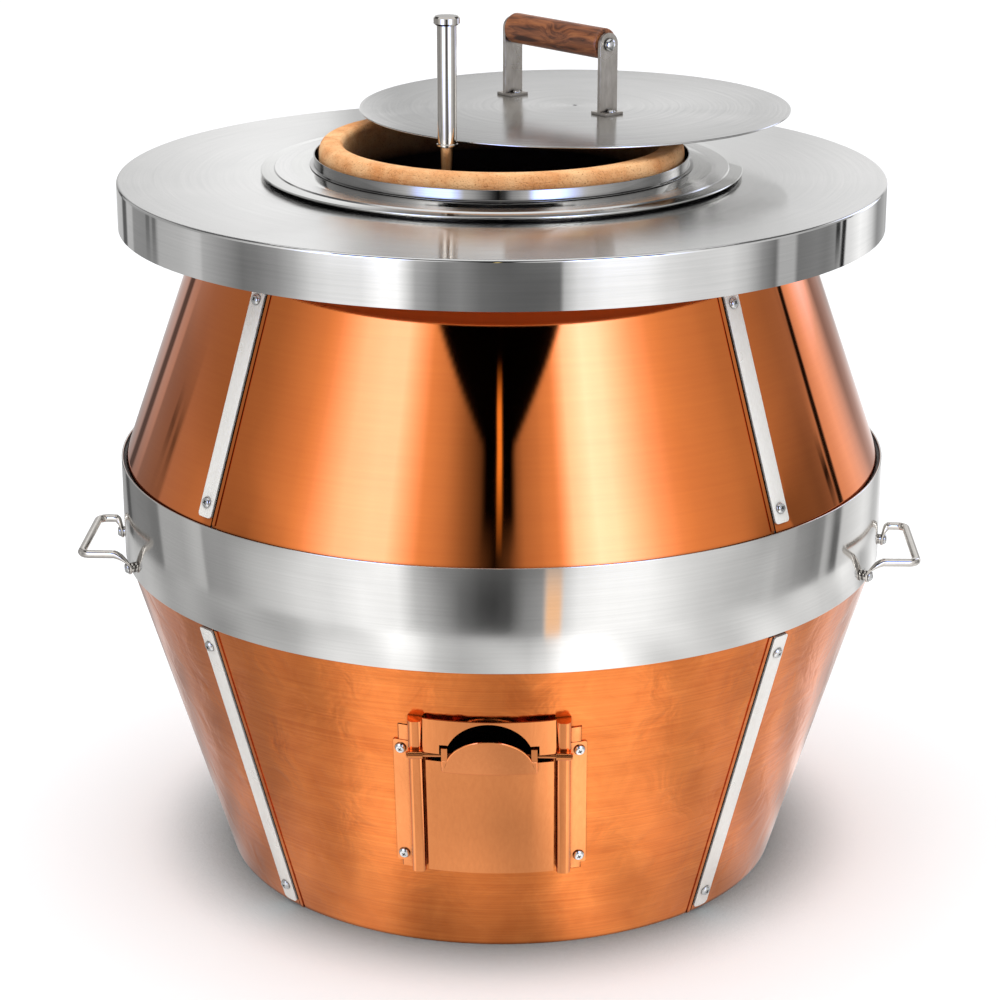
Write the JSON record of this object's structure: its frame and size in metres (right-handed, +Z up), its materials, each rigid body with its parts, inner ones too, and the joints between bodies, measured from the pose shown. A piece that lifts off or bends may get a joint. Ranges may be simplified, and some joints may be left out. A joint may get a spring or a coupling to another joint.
{
  "type": "gas tandoor",
  "caption": "Barrel shaped gas tandoor in polished copper sheet with a wide steel belt and plate, a fire door, a lift-out burner guard and a loose lid with a roller grip.",
  "frame": {"origin": "centre of the base, on the floor", "axes": "+Z up along the axis of the barrel, -Y towards the fire door, +X to the right of someone who faces the door"},
  "size_m": [0.8916, 0.8272, 0.9348],
  "materials": {
    "copper": "polished copper sheet, brushed below the belt",
    "steel": "brushed stainless steel",
    "polished_steel": "polished stainless steel",
    "frame_steel": "plain mild steel",
    "clay": "unglazed fired clay",
    "refractory": "cast refractory",
    "wool": "ceramic fibre wool",
    "rope": "graphite coated ceramic fibre rope",
    "iron": "cast iron",
    "brass": "turned brass",
    "red_lever": "red lacquered steel",
    "walnut": "oiled walnut"
  },
  "bodies": {
    "oven": {"base_pan": "frame_steel", "hearth_slab": "refractory", "clay_pot": "clay", "lower_insulation": "wool", "upper_insulation": "wool", "lower_posts": "frame_steel", "upper_posts": "frame_steel", "mid_hoop": "frame_steel", "top_hoop": "frame_steel", "lower_panel_front": "copper", "lower_panel_right": "copper", "lower_panel_rear": "copper", "lower_panel_left": "copper", "upper_panel_front": "copper", "upper_panel_right": "copper", "upper_panel_rear": "copper", "upper_panel_left": "copper", "lower_strip_front_right": "steel", "lower_strip_rear_right": "steel", "lower_strip_rear_left": "steel", "lower_strip_front_left": "steel", "upper_strip_front_right": "steel", "upper_strip_rear_right": "steel", "upper_strip_rear_left": "steel", "upper_strip_front_left": "steel", "belt": "steel", "right_handle": "polished_steel", "left_handle": "polished_steel", "shell_screws": "polished_steel", "top_plate": "steel", "mouth_ring": "steel", "collar": "steel", "rope_packing": "rope", "right_door_rail": "copper", "left_door_rail": "copper", "door_fascia": "copper", "hinge_rod": "copper", "fire_duct": "frame_steel", "burner_bowl": "iron", "burner_cap": "iron", "mixing_tube": "iron", "injector": "brass", "gas_pipe": "brass", "pipe_gland": "steel", "tap_body": "brass", "inlet_nipple": "brass"},
    "door_flap": {"door_plate": "copper", "thumb_tab": "copper"},
    "tap": {"tap_lever": "red_lever"},
    "guard": {"guard_plate": "frame_steel", "guard_rod": "polished_steel", "hand_sleeve": "polished_steel", "rod_cap": "polished_steel"},
    "lid": {"lid_plate": "steel", "lid_pan": "steel", "left_bracket": "steel", "right_bracket": "steel", "roller_bolt": "polished_steel", "lid_screws": "polished_steel"},
    "roller": {"wooden_roller": "walnut"}
  },
  "joints": [
    {"name": "flap_hinge", "type": "hinge", "parent": "oven", "child": "door_flap", "pos_m": [0, -0.38812, 0.25072], "axis": [-1, 0, 0], "range_deg": [0, 70]},
    {"name": "tap_turn", "type": "hinge", "parent": "oven", "child": "tap", "pos_m": [0, 0.35308, 0.096], "axis": [0, 0, 1], "range_deg": [0, 90]},
    {"name": "guard_lift", "type": "slide", "parent": "oven", "child": "guard", "axis": [0, 0, 1], "range_m": [0, 0.45]},
    {"name": "lid_lift", "type": "slide", "parent": "oven", "child": "lid", "axis": [0, 0, 1], "range_m": [0, 0.3]},
    {"name": "roller_turn", "type": "hinge", "parent": "lid", "child": "roller", "pos_m": [0.0592, 0.1194, 0.8805], "axis": [0.6652, -0.7466, 0], "continuous": true}
  ]
}
